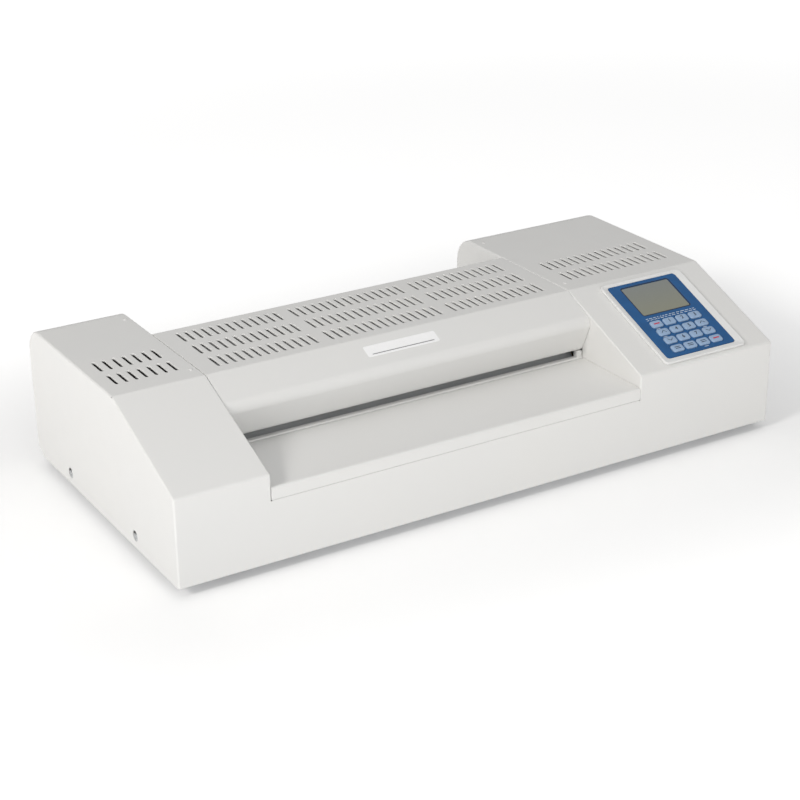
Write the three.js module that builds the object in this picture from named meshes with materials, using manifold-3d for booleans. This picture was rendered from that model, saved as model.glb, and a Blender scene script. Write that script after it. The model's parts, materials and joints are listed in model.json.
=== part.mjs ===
// Desktop roll laminator for film up to 325 mm wide.
// A sheet-steel case with two raised end blocks stands on four rubber feet. Between the blocks a feed
// table leads to a slot, two roller pairs pull the work through, and an exit guide carries it out behind.
// Millimetres, +Z up. The part's origin is under the middle of the case, on the plane of the foot soles.
// Inside the machine group X is centred, Y runs back from the front face and Z runs up from the case's
// underside.

import * as THREE from 'three';
import { mergeVertices } from 'three/addons/utils/BufferGeometryUtils.js';
import Module from 'manifold-3d';

const wasm = await Module();
wasm.setup();

// ---------------------------------------------------------------------------------------------------
// Driving dimensions
// ---------------------------------------------------------------------------------------------------

const SHEET = 1.2;            // steel sheet of the case
const GAP = 0.3;              // left between neighbouring pieces
const ROUND = 20;             // sides of a round piece

const CASE_WIDTH = 561;
const CASE_DEPTH = 280;
const CASE_HEIGHT = 115.4;
const LEFT_BLOCK = 78.5;      // width of the left end block
const RIGHT_BLOCK = 140.5;    // width of the right end block
const FRONT_HEIGHT = 72.8;    // upright part of a block's front
const SLOPE_RUN = 104.2;      // depth over which a block's front slopes back
const REAR_RADIUS = 24;       // rolled rear top corner of a block
const REAR_CHAMFER = { back: 10.4, up: 6 };
const FOOT_HEIGHT = 8;

const TABLE_HEIGHT = 62;      // top face of the feed table
const TABLE_DEPTH = 79.6;
const TABLE_LIP = 10.4;       // turned down in the front face
const TABLE_SLIT = 0.4;       // open slit at each end of the lip

const COVER_BACK = 207;       // rear edge of the top cover
const COVER_SLIT = 0.4;       // seam between the cover and a block
const SLOT_TOP = 67.3;        // underside of the cover's front edge, over the entry slot
const SLOT_END = 8;           // blanked at each end of the entry slot
const GUIDE_HEIGHT = 62.8;    // top face of the entry guide, just over the table

const EXIT_HEIGHT = 59.5;     // top face of the exit guide
const EXIT_FRONT = 184;
const EXIT_LIP = 8.5;

const ROLLER_RADIUS = 15;
const ROLLER_LENGTH = 336;
const JOURNAL_RADIUS = 6;
const NIP_HEIGHT = 64.75;     // where the sheet passes between the rollers
const FRONT_PAIR = 104;       // Y of the front (hot) roller pair
const REAR_PAIR = 164;        // Y of the rear (pull) roller pair
const ROLLER_LIFT = 2;        // how far thick work lifts an upper roller

const FRAME = 3;              // side frame plate
const FRAME_SPAN = { front: 90, rear: 188, top: 107.5 };
const GEAR = { module: 1.5, teeth: 20, pinion: 12, width: 10 };

const VENT = { width: 3, length: 20 };
const COVER_VENTS = { pitch: 7.31, places: 43, left_out: [13, 29], rows: [115, 145, 175] };
const LEFT_VENTS = { pitch: 8.33, places: 7, rows: [124.5, 154] };
const RIGHT_VENTS = { pitch: 7.4, places: 15, rows: [124.5, 154] };

// Places on the control panel: u runs right from the right block's inner wall, s runs up the slope.
const BEZEL = { u: 71.5, s: 55.2, width: 86, height: 102.5, proud: 2.3, corner: 4 };
const OVERLAY = { width: 72.5, height: 93, thickness: 1.5, corner: 3, u: 70.6, s: 56 };
const DISPLAY = { u: 70.8, s: 79.8, width: 50, height: 35.5 };
const KEY = { width: 12, height: 8, travel: 0.8, proud: 1.2, u: 50, s: 17.8, pitch_u: 13.75, pitch_s: 10.45 };

const INLET = { x: 214, z: 52, width: 27, height: 47, flange: 2, depth: 24 };

// ---------------------------------------------------------------------------------------------------
// Derived places
// ---------------------------------------------------------------------------------------------------

const LEFT = -CASE_WIDTH / 2;
const RIGHT = CASE_WIDTH / 2;
const WALL_L = LEFT + LEFT_BLOCK;          // inner face of the left block's inner wall
const WALL_R = RIGHT - RIGHT_BLOCK;        // inner face of the right block's inner wall
const MIDDLE = (WALL_L + WALL_R) / 2;
const SLOPE = Math.atan2(CASE_HEIGHT - FRONT_HEIGHT, SLOPE_RUN);
const LOWER_AXIS = NIP_HEIGHT - ROLLER_RADIUS;
const UPPER_AXIS = NIP_HEIGHT + ROLLER_RADIUS;
const IDLER_Y = (FRONT_PAIR + REAR_PAIR) / 2;
const PINION_Z = LOWER_AXIS + (GEAR.module * (GEAR.teeth + GEAR.pinion)) / 2;
const FRAME_L = WALL_L - SHEET - 2 - FRAME / 2;    // middle plane of the left side frame
const FRAME_R = WALL_R + SHEET + 2 + FRAME / 2;    // middle plane of the right side frame
const GEAR_X = FRAME_R + 5.3;                      // inner face of the gears
const RUNNING = JOURNAL_RADIUS + GAP;

// ---------------------------------------------------------------------------------------------------
// Materials
// ---------------------------------------------------------------------------------------------------

function paint(color, roughness, metalness) {
  return new THREE.MeshStandardMaterial({ color, roughness, metalness });
}

const white_enamel = paint(0xe6e4de, 0.45, 0.0);
const zinc_steel = paint(0xa9acae, 0.4, 0.9);
const spring_steel = paint(0x8f9294, 0.35, 0.95);
const silicone = paint(0xa3a5a6, 0.7, 0.0);
const black_rubber = paint(0x1d1d1e, 0.85, 0.0);
const bronze = paint(0xa87f45, 0.4, 0.9);
const acetal = paint(0xe8e4d6, 0.5, 0.0);
const heater_metal = paint(0xb9bcbe, 0.45, 0.9);
const motor_metal = paint(0x6d7072, 0.4, 0.8);
const circuit_green = paint(0x1f5a3a, 0.6, 0.0);
const blue_film = paint(0x285a91, 0.35, 0.0);
const key_blue = paint(0xa0b9d7, 0.35, 0.0);
const bezel_grey = paint(0xc9c9c6, 0.45, 0.0);
const display_glass = paint(0x828273, 0.15, 0.0);
const black_plastic = paint(0x18181a, 0.5, 0.0);

// ---------------------------------------------------------------------------------------------------
// Geometry helpers
// ---------------------------------------------------------------------------------------------------

const YZ_ALONG_X = new THREE.Matrix4().makeBasis(
  new THREE.Vector3(0, 1, 0),
  new THREE.Vector3(0, 0, 1),
  new THREE.Vector3(1, 0, 0),
);

function flat(points) {
  return new THREE.Shape(points.map(([a, b]) => new THREE.Vector2(a, b)));
}

// A (y, z) outline carried along X from x0 to x1.
function alongX(outline, x0, x1) {
  const shape = outline instanceof THREE.Shape ? outline : flat(outline);
  const geometry = new THREE.ExtrudeGeometry(shape, { depth: x1 - x0, bevelEnabled: false });
  return geometry.applyMatrix4(YZ_ALONG_X).translate(x0, 0, 0);
}

// An (x, y) outline carried up Z from z0 to z1.
function alongZ(shape, z0, z1) {
  const geometry = new THREE.ExtrudeGeometry(shape, { depth: z1 - z0, bevelEnabled: false, curveSegments: 2 });
  return geometry.translate(0, 0, z0);
}

function block(x0, x1, y0, y1, z0, z1) {
  const geometry = new THREE.BoxGeometry(x1 - x0, y1 - y0, z1 - z0);
  return geometry.translate((x0 + x1) / 2, (y0 + y1) / 2, (z0 + z1) / 2);
}

// A round bar along X.
function barX(radius, x0, x1, y, z) {
  const geometry = new THREE.CylinderGeometry(radius, radius, x1 - x0, ROUND);
  return geometry.rotateZ(-Math.PI / 2).translate((x0 + x1) / 2, y, z);
}

// A turned piece on an axis along X. The profile lists [radius, x].
function turnedX(profile, y, z) {
  const points = profile.map(([radius, x]) => new THREE.Vector2(radius, x));
  return new THREE.LatheGeometry(points, ROUND).rotateZ(-Math.PI / 2).translate(0, y, z);
}

function roundedRectangle(width, height, corner, u = 0, s = 0) {
  const [left, right, low, high] = [u - width / 2, u + width / 2, s - height / 2, s + height / 2];
  const shape = new THREE.Shape();
  shape.moveTo(left + corner, low);
  shape.lineTo(right - corner, low);
  shape.absarc(right - corner, low + corner, corner, -Math.PI / 2, 0, false);
  shape.absarc(right - corner, high - corner, corner, 0, Math.PI / 2, false);
  shape.absarc(left + corner, high - corner, corner, Math.PI / 2, Math.PI, false);
  shape.absarc(left + corner, low + corner, corner, Math.PI, 1.5 * Math.PI, false);
  return shape;
}

function arc(y, z, radius, from, to, steps) {
  const points = [];
  for (let i = 0; i <= steps; i += 1) {
    const angle = THREE.MathUtils.degToRad(from + ((to - from) * i) / steps);
    points.push([y + radius * Math.cos(angle), z + radius * Math.sin(angle)]);
  }
  return points;
}

// The section of a bent sheet whose outer face follows the path. The material lies to the right of the
// direction of travel, and the inner face is mitred at each bend.
function bentSection(path, thickness = SHEET) {
  const normals = path.slice(1).map(([y, z], i) => {
    const run = new THREE.Vector2(y - path[i][0], z - path[i][1]).normalize();
    return new THREE.Vector2(run.y, -run.x);
  });
  const inner = path.map(([y, z], i) => {
    const before = normals[Math.max(i - 1, 0)];
    const after = normals[Math.min(i, normals.length - 1)];
    const mitre = before.clone().add(after).multiplyScalar(thickness / (1 + before.dot(after)));
    return [y + mitre.x, z + mitre.y];
  });
  return [...path, ...inner.reverse()];
}

function solid(geometry) {
  const bare = geometry.index ? geometry.clone() : geometry;
  bare.deleteAttribute('normal');
  bare.deleteAttribute('uv');
  const welded = mergeVertices(bare, 1e-4);
  return new wasm.Manifold(new wasm.Mesh({
    numProp: 3,
    vertProperties: welded.attributes.position.array,
    triVerts: Uint32Array.from(welded.index.array),
  }));
}

function join(...geometries) {
  return wasm.Manifold.union(geometries.map(solid));
}

function surface(body) {
  const { vertProperties, triVerts } = body.getMesh();
  const geometry = new THREE.BufferGeometry();
  geometry.setAttribute('position', new THREE.BufferAttribute(vertProperties, 3));
  geometry.setIndex(new THREE.BufferAttribute(triVerts, 1));
  geometry.computeVertexNormals();
  return geometry;
}

function piece(parent, name, shape, material) {
  const geometry = shape instanceof THREE.BufferGeometry ? shape : surface(shape);
  const mesh = new THREE.Mesh(geometry, material);
  mesh.name = name;
  parent.add(mesh);
  return mesh;
}

// Cutters for rows of slots that run front to back through the sheet at height z.
function ventCutters({ pitch, places, rows, left_out = [] }, middle, z) {
  const cutters = [];
  for (const row of rows) {
    for (let i = 0; i < places; i += 1) {
      if (left_out.includes(i)) continue;
      const x = middle + (i - (places - 1) / 2) * pitch;
      cutters.push(block(x - VENT.width / 2, x + VENT.width / 2, row, row + VENT.length, z - 3, z + 3));
    }
  }
  return join(...cutters);
}

// ---------------------------------------------------------------------------------------------------
// Case and covers
// ---------------------------------------------------------------------------------------------------

const machine = new THREE.Group();
machine.position.set(0, -CASE_DEPTH / 2, FOOT_HEIGHT);

// Side outline of an end block, from the front's foot over the top to the back's foot.
const BLOCK_OUTLINE = [
  [0, 0],
  [0, FRONT_HEIGHT],
  [SLOPE_RUN, CASE_HEIGHT],
  ...arc(CASE_DEPTH - REAR_RADIUS, CASE_HEIGHT - REAR_RADIUS, REAR_RADIUS, 90, 0, 6),
  [CASE_DEPTH, REAR_CHAMFER.up],
  [CASE_DEPTH - REAR_CHAMFER.back, 0],
];

// The inner wall is cut away where the side frames and rollers stand, and above the base pan's flanges.
function innerWall(x0) {
  return solid(alongX(BLOCK_OUTLINE, x0, x0 + SHEET))
    .subtract(solid(block(x0 - 1, x0 + 2, 81, COVER_BACK - 3, -1, 98)))
    .subtract(solid(block(x0 - 1, x0 + 2, 88, COVER_BACK - 3, 90, CASE_HEIGHT - 7.4)))
    .subtract(solid(block(x0 - 1, x0 + 2, SHEET, CASE_DEPTH - 10, -1, 16)));
}

// Opening in the right slope, under the keypad overlay.
function panelOpening() {
  const cutter = block(37, 104, 12, 100, -5, 5);
  return solid(cutter.rotateX(SLOPE).translate(WALL_R, 0, FRONT_HEIGHT));
}

function outerCase() {
  const wrap = bentSection(BLOCK_OUTLINE);
  const front_top = TABLE_HEIGHT - TABLE_LIP - GAP;
  const { x, z, width, height } = INLET;
  return join(
    alongX(wrap, LEFT, WALL_L),
    alongX(wrap, WALL_R, RIGHT),
    alongX(BLOCK_OUTLINE, LEFT, LEFT + SHEET),
    alongX(BLOCK_OUTLINE, RIGHT - SHEET, RIGHT),
    block(WALL_L - 5, WALL_R + 5, 0, SHEET, 0, front_top),
  )
    .add(innerWall(WALL_L - SHEET))
    .add(innerWall(WALL_R))
    .subtract(ventCutters(LEFT_VENTS, LEFT + LEFT_BLOCK / 2, CASE_HEIGHT))
    .subtract(ventCutters(RIGHT_VENTS, RIGHT - RIGHT_BLOCK / 2 + 1.4, CASE_HEIGHT))
    .subtract(panelOpening())
    .subtract(solid(block(
      x - width / 2 - GAP, x + width / 2 + GAP,
      CASE_DEPTH - 3, CASE_DEPTH + 3,
      z - height / 2 - GAP, z + height / 2 + GAP,
    )));
}

// The cover's nose is rolled under towards the entry slot, and its back drops to the exit slot.
function topCover() {
  const path = [
    [85, SLOT_TOP],
    ...arc(85.6, 73.2, 6, 250, 190, 3),
    ...arc(79.6, 94.6, 8.6, 198, 113, 5),
    [SLOPE_RUN, CASE_HEIGHT],
    ...arc(COVER_BACK - 4, CASE_HEIGHT - 4, 4, 90, 0, 3),
    [COVER_BACK, EXIT_HEIGHT + 12],
    ...arc(COVER_BACK - 4, EXIT_HEIGHT + 12, 4, 0, -80, 3),
  ];
  const shell = alongX(bentSection(path), WALL_L + COVER_SLIT, WALL_R - COVER_SLIT);
  return solid(shell).subtract(ventCutters(COVER_VENTS, MIDDLE, CASE_HEIGHT));
}

function feedTable() {
  const path = [
    [0, TABLE_HEIGHT - TABLE_LIP],
    [0, TABLE_HEIGHT],
    [TABLE_DEPTH - GAP, TABLE_HEIGHT],
    [TABLE_DEPTH - GAP, TABLE_HEIGHT - 8],
  ];
  return alongX(bentSection(path), WALL_L + TABLE_SLIT, WALL_R - TABLE_SLIT);
}

// A narrow channel behind the table. Its ends stand up and blank the ends of the slot.
function entryGuide() {
  const [front, back] = [TABLE_DEPTH + GAP, 85.8];
  const path = [[front, 50], [front, GUIDE_HEIGHT], [back, GUIDE_HEIGHT], [back, 50]];
  const top = SLOT_TOP - GAP - 0.2;
  return join(
    alongX(bentSection(path), WALL_L + TABLE_SLIT, WALL_R - TABLE_SLIT),
    block(WALL_L + TABLE_SLIT, WALL_L + SLOT_END, front + 1, back, GUIDE_HEIGHT - 1, top),
    block(WALL_R - SLOT_END, WALL_R - TABLE_SLIT, front + 1, back, GUIDE_HEIGHT - 1, top),
  );
}

function exitGuide() {
  const path = [
    [EXIT_FRONT, EXIT_HEIGHT - 9],
    [EXIT_FRONT, EXIT_HEIGHT],
    [CASE_DEPTH, EXIT_HEIGHT],
    [CASE_DEPTH, EXIT_HEIGHT - EXIT_LIP],
  ];
  return alongX(bentSection(path), WALL_L + TABLE_SLIT, WALL_R - TABLE_SLIT);
}

function rearPanel() {
  const path = [
    [CASE_DEPTH, EXIT_HEIGHT - EXIT_LIP - GAP],
    [CASE_DEPTH, REAR_CHAMFER.up],
    [CASE_DEPTH - REAR_CHAMFER.back, 0],
  ];
  return alongX(bentSection(path), WALL_L + GAP, WALL_R - GAP);
}

// Bottom sheet with a flange up all round, and two fields of air slots.
function basePan() {
  const [x1, y0, y1, rim] = [RIGHT - SHEET - GAP, SHEET + GAP, 268.4, 13];
  const vents = { pitch: 11, places: 12, rows: [70, 190] };
  return join(block(-x1, x1, y0, y1, 0, rim))
    .subtract(solid(block(-x1 + SHEET, x1 - SHEET, y0 + SHEET, y1 - SHEET, SHEET, rim + 1)))
    .subtract(ventCutters(vents, MIDDLE, 0));
}

function foot(x, y) {
  const profile = [[0, -8], [9.5, -8], [11, -GAP], [4.5, -GAP], [4.5, -4], [0, -4]];
  const points = profile.map(([radius, z]) => new THREE.Vector2(radius, z));
  return new THREE.LatheGeometry(points, ROUND).rotateX(Math.PI / 2).translate(x, y, 0);
}

piece(machine, 'outer_case', outerCase(), white_enamel);
piece(machine, 'top_cover', topCover(), white_enamel);
piece(machine, 'feed_table', feedTable(), white_enamel);
piece(machine, 'entry_guide', entryGuide(), white_enamel);
piece(machine, 'exit_guide', exitGuide(), white_enamel);
piece(machine, 'rear_panel', rearPanel(), white_enamel);
piece(machine, 'base_pan', basePan(), zinc_steel);
for (const [x_name, x] of [['left', -242], ['right', 242]]) {
  for (const [y_name, y] of [['front', 34], ['rear', 240]]) {
    piece(machine, `foot_${y_name}_${x_name}`, foot(x, y), black_rubber);
  }
}

// ---------------------------------------------------------------------------------------------------
// Control panel on the right block's slope. Its group's X is u, its Y is s and its Z is the outward normal.
// ---------------------------------------------------------------------------------------------------

const panel = new THREE.Group();
panel.position.set(WALL_R, 0, FRONT_HEIGHT);
panel.rotation.x = SLOPE;
machine.add(panel);

const KEY_PLACES = [];
for (let row = 1; row <= 4; row += 1) {
  for (let column = 1; column <= 4; column += 1) {
    const u = KEY.u + (column - 1) * KEY.pitch_u;
    const s = KEY.s + (4 - row) * KEY.pitch_s;
    KEY_PLACES.push({ name: `key_r${row}_c${column}`, u, s });
  }
}

function bezel() {
  const rim = roundedRectangle(BEZEL.width, BEZEL.height, BEZEL.corner, BEZEL.u, BEZEL.s);
  const inside = { width: OVERLAY.width + 2 * GAP, height: OVERLAY.height + 2 * GAP };
  rim.holes.push(roundedRectangle(inside.width, inside.height, OVERLAY.corner, OVERLAY.u, OVERLAY.s));
  return alongZ(rim, GAP, BEZEL.proud);
}

function overlay() {
  const film = roundedRectangle(OVERLAY.width, OVERLAY.height, OVERLAY.corner, OVERLAY.u, OVERLAY.s);
  const openings = KEY_PLACES.map(({ u, s }) => ({ u, s, width: KEY.width, height: KEY.height }));
  const cutters = [DISPLAY, ...openings].map(({ u, s, width, height }) => block(
    u - width / 2 - GAP, u + width / 2 + GAP,
    s - height / 2 - GAP, s + height / 2 + GAP,
    -1, 5,
  ));
  return solid(alongZ(film, GAP, GAP + OVERLAY.thickness)).subtract(join(...cutters));
}

// A key's cap stands through the overlay, and a thin flange under the overlay keeps it in.
function key() {
  const edge = 0.9;
  const corner = 1.4;
  const [a, b] = [KEY.width / 2 - edge, KEY.height / 2 - edge];
  const outline = [[-a, corner - b], [corner - a, -b], [a - corner, -b], [a, corner - b]];
  const cap = new THREE.ExtrudeGeometry(flat([...outline, ...outline.map(([u, s]) => [-u, -s])]), {
    depth: GAP + OVERLAY.thickness + KEY.proud - 2 * edge,
    bevelThickness: edge,
    bevelSize: edge,
    bevelSegments: 1,
  }).translate(0, 0, edge - 0.1);
  return join(cap, block(-6.6, 6.6, -4.7, 4.7, -0.8, 0));
}

// Circuit board under the slope, with its display module, key switches and four posts. The switches stop
// short of the keys, which come down by their travel.
function controlBoard() {
  const top = -6;
  const switch_top = -0.8 - KEY.travel - 2 * GAP;
  const { u, s, width, height } = DISPLAY;
  const parts = [
    block(32, 109, 8, 104, top - 1.6, top),
    block(u - width / 2 - 1, u + width / 2 + 1, s - height / 2 - 1, s + height / 2 + 1, top - 0.5, 0.2),
    block(46, 66, 40, 58, top - 12, top - 1),
    block(76, 100, 66, 90, top - 9, top - 1),
  ];
  for (const place of KEY_PLACES) {
    parts.push(block(place.u - 3, place.u + 3, place.s - 3, place.s + 3, top - 0.5, switch_top));
  }
  for (const post_u of [34.5, 106.5]) {
    for (const post_s of [10, 102]) {
      parts.push(block(post_u - 2, post_u + 2, post_s - 1.8, post_s + 1.8, top - 0.5, -SHEET - GAP));
    }
  }
  return join(...parts);
}

piece(panel, 'panel_bezel', bezel(), bezel_grey);
piece(panel, 'keypad_overlay', overlay(), blue_film);
piece(
  panel,
  'display_window',
  block(
    DISPLAY.u - DISPLAY.width / 2, DISPLAY.u + DISPLAY.width / 2,
    DISPLAY.s - DISPLAY.height / 2, DISPLAY.s + DISPLAY.height / 2,
    0.5, 1.6,
  ),
  display_glass,
);
piece(panel, 'control_board', controlBoard(), circuit_green);
for (const { name, u, s } of KEY_PLACES) {
  piece(panel, name, key(), key_blue).position.set(u, s, 0);
}

// ---------------------------------------------------------------------------------------------------
// Side frames, rollers and their bearings
// ---------------------------------------------------------------------------------------------------

const WINDOW = { half_width: 9.3, low: 66, high: 104.2 };
const MOTOR_POSTS = [[IDLER_Y - 14, 102], [IDLER_Y + 14, 102], [IDLER_Y, 24]];
const MOTOR_FACE = 166;

// A side frame holds the lower bushes in holes and the upper bearing blocks in upright windows. Over each
// window is a seat for the pressure spring, and its foot is turned outwards on the base pan.
function sideFrame(middle, outward) {
  const [x0, x1] = [middle - FRAME / 2, middle + FRAME / 2];
  const { front, rear, top } = FRAME_SPAN;
  const foot_low = SHEET + GAP;
  const foot_x = [outward > 0 ? x0 : x0 - 14, outward > 0 ? x1 + 14 : x1];
  const seats = [FRONT_PAIR, REAR_PAIR].map(
    (y) => block(middle - 4.5, middle + 4.5, y - 8, y + 8, WINDOW.high, WINDOW.high + 2),
  );
  let frame = join(
    block(x0, x1, front, rear, foot_low, top),
    block(foot_x[0], foot_x[1], front, rear, foot_low, foot_low + FRAME),
    ...seats,
  );
  for (const y of [FRONT_PAIR, REAR_PAIR]) {
    const [low, high] = [WINDOW.low, WINDOW.high];
    frame = frame
      .subtract(solid(block(x0 - 1, x1 + 1, y - WINDOW.half_width, y + WINDOW.half_width, low, high)))
      .subtract(solid(barX(9 + GAP, x0 - 1, x1 + 1, y, LOWER_AXIS)));
  }
  return frame;
}

// The right frame also carries the idler's stud and three posts for the motor.
function gearSideFrame() {
  const face = FRAME_R + FRAME / 2;
  return sideFrame(FRAME_R, 1)
    .add(solid(barX(4, face - 1, GEAR_X + GEAR.width + 2, IDLER_Y, LOWER_AXIS)))
    .add(join(...MOTOR_POSTS.map(([y, z]) => barX(3, face - 1, MOTOR_FACE - GAP, y, z))));
}

function roller(y, z) {
  const [sleeve_l, sleeve_r] = [MIDDLE - ROLLER_LENGTH / 2, MIDDLE + ROLLER_LENGTH / 2];
  const [end_l, end_r] = [FRAME_L - 7, GEAR_X + GEAR.width + 2];
  return turnedX([
    [0, end_l], [JOURNAL_RADIUS, end_l], [JOURNAL_RADIUS, sleeve_l], [ROLLER_RADIUS, sleeve_l],
    [ROLLER_RADIUS, sleeve_r], [JOURNAL_RADIUS, sleeve_r], [JOURNAL_RADIUS, end_r], [0, end_r],
  ], y, z);
}

function bush(middle, outward, y) {
  const barrel = [middle - FRAME / 2 - 0.6, middle + FRAME / 2 + 0.6];
  const rim = outward > 0 ? [barrel[1] - 0.2, barrel[1] + 1.8] : [barrel[0] - 1.8, barrel[0] + 0.2];
  return solid(barX(9, barrel[0], barrel[1], y, LOWER_AXIS))
    .add(solid(barX(11, rim[0], rim[1], y, LOWER_AXIS)))
    .subtract(solid(barX(RUNNING, middle - 10, middle + 10, y, LOWER_AXIS)));
}

// A bearing block slides in its frame window, with a wider plate outside that keeps it in.
function bearingBlock(middle, outward, y) {
  const plate = [FRAME / 2 + GAP, 4].map((offset) => middle + outward * offset).sort((a, b) => a - b);
  return join(
    block(middle - 4, middle + 4, y - 9, y + 9, UPPER_AXIS - 9, UPPER_AXIS + 9),
    block(plate[0], plate[1], y - 12, y + 12, UPPER_AXIS - 9, UPPER_AXIS + 9),
  ).subtract(solid(barX(RUNNING, middle - 10, middle + 10, y, UPPER_AXIS)));
}

class Helix extends THREE.Curve {
  constructor(radius, turns, height) {
    super();
    Object.assign(this, { radius, turns, height });
  }

  getPoint(t, target = new THREE.Vector3()) {
    const angle = 2 * Math.PI * this.turns * t;
    return target.set(this.radius * Math.cos(angle), this.radius * Math.sin(angle), this.height * t);
  }
}

function pressureSpring(middle, y) {
  const wire = 0.6;
  const low = UPPER_AXIS + 9 + GAP + wire;
  const height = WINDOW.high - GAP - wire - low;
  const geometry = new THREE.ExtrudeGeometry(flat(arc(0, 0, wire, 0, 288, 4)), {
    extrudePath: new Helix(3.3, 4, height),
    steps: 32,
    bevelEnabled: false,
  });
  return geometry.translate(middle, y, low);
}

// A curved heater stands round the outside of a front roller, on a tab at each corner.
function heater(z, from, to, clearance) {
  const thickness = 3;
  const inner = ROLLER_RADIUS + clearance;
  const section = [
    ...arc(FRONT_PAIR, z, inner + thickness, from, to, 8),
    ...arc(FRONT_PAIR, z, inner, to, from, 8),
  ];
  const parts = [alongX(section, WALL_L + 1, WALL_R - 1)];
  const [tab_l, tab_r] = [FRAME_L + FRAME / 2 + GAP, FRAME_R - FRAME / 2 - GAP];
  for (const angle of [from, to]) {
    const [[y, tab_z]] = arc(FRONT_PAIR, z, inner + thickness / 2, angle, angle, 1);
    parts.push(block(tab_l, tab_r, y - 1.5, y + 1.5, tab_z - 2, tab_z + 2));
  }
  return join(...parts);
}

piece(machine, 'left_frame', sideFrame(FRAME_L, -1), zinc_steel);
piece(machine, 'right_frame', gearSideFrame(), zinc_steel);
for (const [pair, y] of [['front', FRONT_PAIR], ['rear', REAR_PAIR]]) {
  piece(machine, `${pair}_lower_roller`, roller(y, LOWER_AXIS), silicone);
  piece(machine, `${pair}_upper_roller`, roller(y, UPPER_AXIS), silicone);
  for (const [side, middle, outward] of [['left', FRAME_L, -1], ['right', FRAME_R, 1]]) {
    piece(machine, `${pair}_${side}_bush`, bush(middle, outward, y), bronze);
    piece(machine, `${pair}_${side}_bearing_block`, bearingBlock(middle, outward, y), acetal);
    piece(machine, `${pair}_${side}_spring`, pressureSpring(middle, y), spring_steel);
  }
}
piece(machine, 'upper_heater', heater(UPPER_AXIS, 25, 155, ROLLER_LIFT + 2.5), heater_metal);
piece(machine, 'lower_heater', heater(LOWER_AXIS, 205, 335, 2.5), heater_metal);

// ---------------------------------------------------------------------------------------------------
// Gear train and motor, on the outer side of the right frame
// ---------------------------------------------------------------------------------------------------

// Trapezium teeth with play between them. A tooth's middle stands at the phase angle, from +Y towards +Z.
function gearOutline(teeth, phase) {
  const pitch_radius = (GEAR.module * teeth) / 2;
  const [root, tip] = [pitch_radius - 1.8, pitch_radius + 1.3];
  const [root_half, tip_half] = [1.45 / root, 0.42 / tip];
  const points = [];
  for (let i = 0; i < teeth; i += 1) {
    const middle = phase + (2 * Math.PI * i) / teeth;
    for (const [radius, offset] of [[root, -root_half], [tip, -tip_half], [tip, tip_half], [root, root_half]]) {
      points.push([radius * Math.cos(middle + offset), radius * Math.sin(middle + offset)]);
    }
  }
  return points;
}

function gear(teeth, phase, bore, y, z) {
  const shape = flat(gearOutline(teeth, phase));
  if (bore > 0) shape.holes.push(flat(arc(0, 0, bore, 0, 360 - 360 / ROUND, ROUND - 1)));
  return alongX(shape, GEAR_X, GEAR_X + GEAR.width).translate(0, y, z);
}

const HALF_TOOTH = Math.PI / GEAR.teeth;

function motorPinion() {
  return solid(gear(GEAR.pinion, 0, 0, IDLER_Y, PINION_Z))
    .add(solid(barX(3, GEAR_X - 1, MOTOR_FACE + 9, IDLER_Y, PINION_Z)));
}

// Face plate, gearbox and motor can in one unit, with a blind bore for the pinion's shaft.
function motor() {
  return join(
    block(MOTOR_FACE, MOTOR_FACE + 2, IDLER_Y - 20, IDLER_Y + 20, 18, 108),
    barX(25, MOTOR_FACE + 1, MOTOR_FACE + 24, IDLER_Y, PINION_Z),
    barX(20, MOTOR_FACE + 23, MOTOR_FACE + 74, IDLER_Y, PINION_Z),
    barX(7, MOTOR_FACE + 73, MOTOR_FACE + 77, IDLER_Y, PINION_Z),
  ).subtract(solid(barX(3 + GAP, MOTOR_FACE - 1, MOTOR_FACE + 10, IDLER_Y, PINION_Z)));
}

for (const [pair, y] of [['front', FRONT_PAIR], ['rear', REAR_PAIR]]) {
  piece(machine, `${pair}_lower_gear`, gear(GEAR.teeth, 0, RUNNING, y, LOWER_AXIS), acetal);
  piece(machine, `${pair}_upper_gear`, gear(GEAR.teeth, HALF_TOOTH, RUNNING, y, UPPER_AXIS), acetal);
}
piece(machine, 'idler_gear', gear(GEAR.teeth, HALF_TOOTH, 4 + GAP, IDLER_Y, LOWER_AXIS), acetal);
piece(machine, 'motor_pinion', motorPinion(), zinc_steel);
piece(machine, 'gear_motor', motor(), motor_metal);

// ---------------------------------------------------------------------------------------------------
// Mains inlet with the power switch, on the back of the right block
// ---------------------------------------------------------------------------------------------------

const SWITCH = { z: INLET.z + 13.5, half_width: 9.3, half_height: 6, tilt: 10, pivot: 3, sunk: 1.8 };
const INLET_FACE = CASE_DEPTH + GAP + INLET.flange;

// Moulded unit: a three-pin socket below and the switch's well above, behind one flange.
function mainsInlet() {
  const { x, z, width, height, depth } = INLET;
  const socket_z = z - 8.5;
  const shell = join(
    block(x - width / 2, x + width / 2, CASE_DEPTH - depth, CASE_DEPTH + 1, z - height / 2, z + height / 2),
    block(x - 16, x + 16, CASE_DEPTH + GAP, INLET_FACE, z - 26, z + 26),
  )
    .subtract(solid(block(x - 12, x + 12, INLET_FACE - 17, INLET_FACE + 1, socket_z - 8, socket_z + 8)))
    .subtract(solid(block(
      x - 10.6, x + 10.6, INLET_FACE - 11, INLET_FACE + 1,
      SWITCH.z - SWITCH.half_height - GAP, SWITCH.z + SWITCH.half_height + GAP,
    )));
  const pins = [[-7, -2.5], [7, -2.5], [0, 3.5]].map(([du, dz]) => block(
    x + du - 1, x + du + 1,
    INLET_FACE - 18, INLET_FACE - 3,
    socket_z + dz - 2, socket_z + dz + 2,
  ));
  return shell.add(join(...pins));
}

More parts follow.
